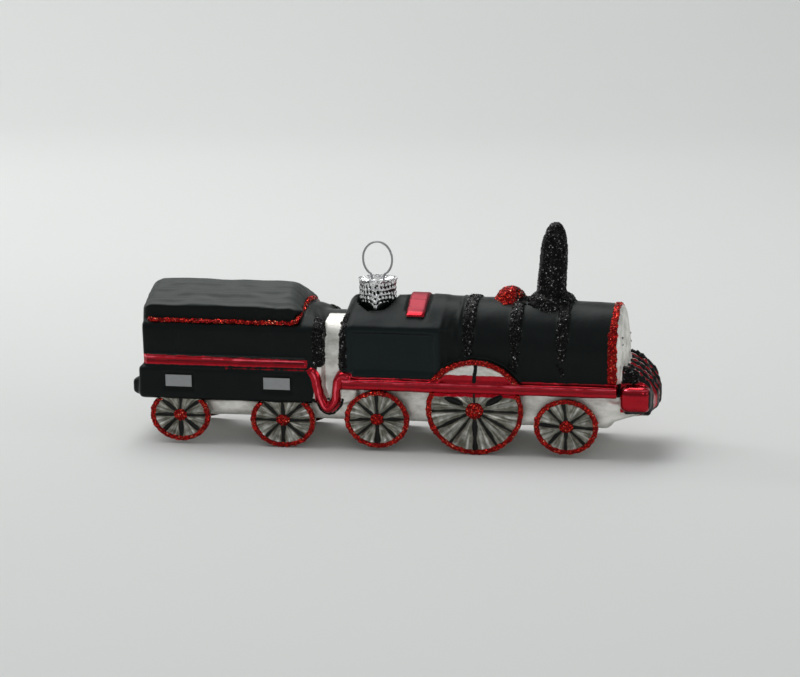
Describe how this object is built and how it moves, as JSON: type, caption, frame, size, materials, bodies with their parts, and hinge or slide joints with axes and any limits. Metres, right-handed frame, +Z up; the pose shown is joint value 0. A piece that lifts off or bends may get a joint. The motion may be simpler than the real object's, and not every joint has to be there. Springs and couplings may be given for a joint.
{
  "type": "blown-glass locomotive ornament",
  "caption": "Hollow blown-glass tree ornament shaped as a steam locomotive with tender, with glitter trim, a metal neck cap and a wire hanging loop.",
  "frame": {"origin": "middle of the length and width, on the surface the moulded wheels stand on", "axes": "+X towards the locomotive's front, +Z up, +Y to the locomotive's left"},
  "size_m": [0.136, 0.0282, 0.0576],
  "materials": {
    "lacquered_glass": "silvered glass under black, matt silver and transparent red lacquer",
    "red_glitter": "coarse red foil glitter in clear glue",
    "black_glitter": "coarse black foil glitter in clear glue",
    "plate_foil": "plain satin grey foil",
    "cap_tinplate": "bright crimped tinplate",
    "hanger_steel": "drawn spring steel wire"
  },
  "bodies": {
    "glass": {"glass_body": "lacquered_glass", "coal_edge_glitter": "red_glitter", "tender_front_glitter": "black_glitter", "cab_rear_glitter": "black_glitter", "boiler_band_glitter": "black_glitter", "smokebox_ring_glitter": "red_glitter", "dome_glitter": "red_glitter", "chimney_glitter": "black_glitter", "splasher_glitter": "red_glitter", "wheel_rim_glitter": "red_glitter", "wheel_hub_glitter": "red_glitter", "pilot_glitter": "black_glitter", "side_plates": "plate_foil"},
    "cap": {"ornament_cap": "cap_tinplate"},
    "hanger": {"hanger_wire": "hanger_steel"}
  },
  "joints": [
    {"name": "cap_lift", "type": "slide", "parent": "glass", "child": "cap", "axis": [0, 0, 1], "range_m": [0, 0.02]},
    {"name": "hanger_rock", "type": "hinge", "parent": "cap", "child": "hanger", "pos_m": [-0.00465, 0, 0.0419], "axis": [1, 0, 0], "range_deg": [-8, 8]}
  ]
}
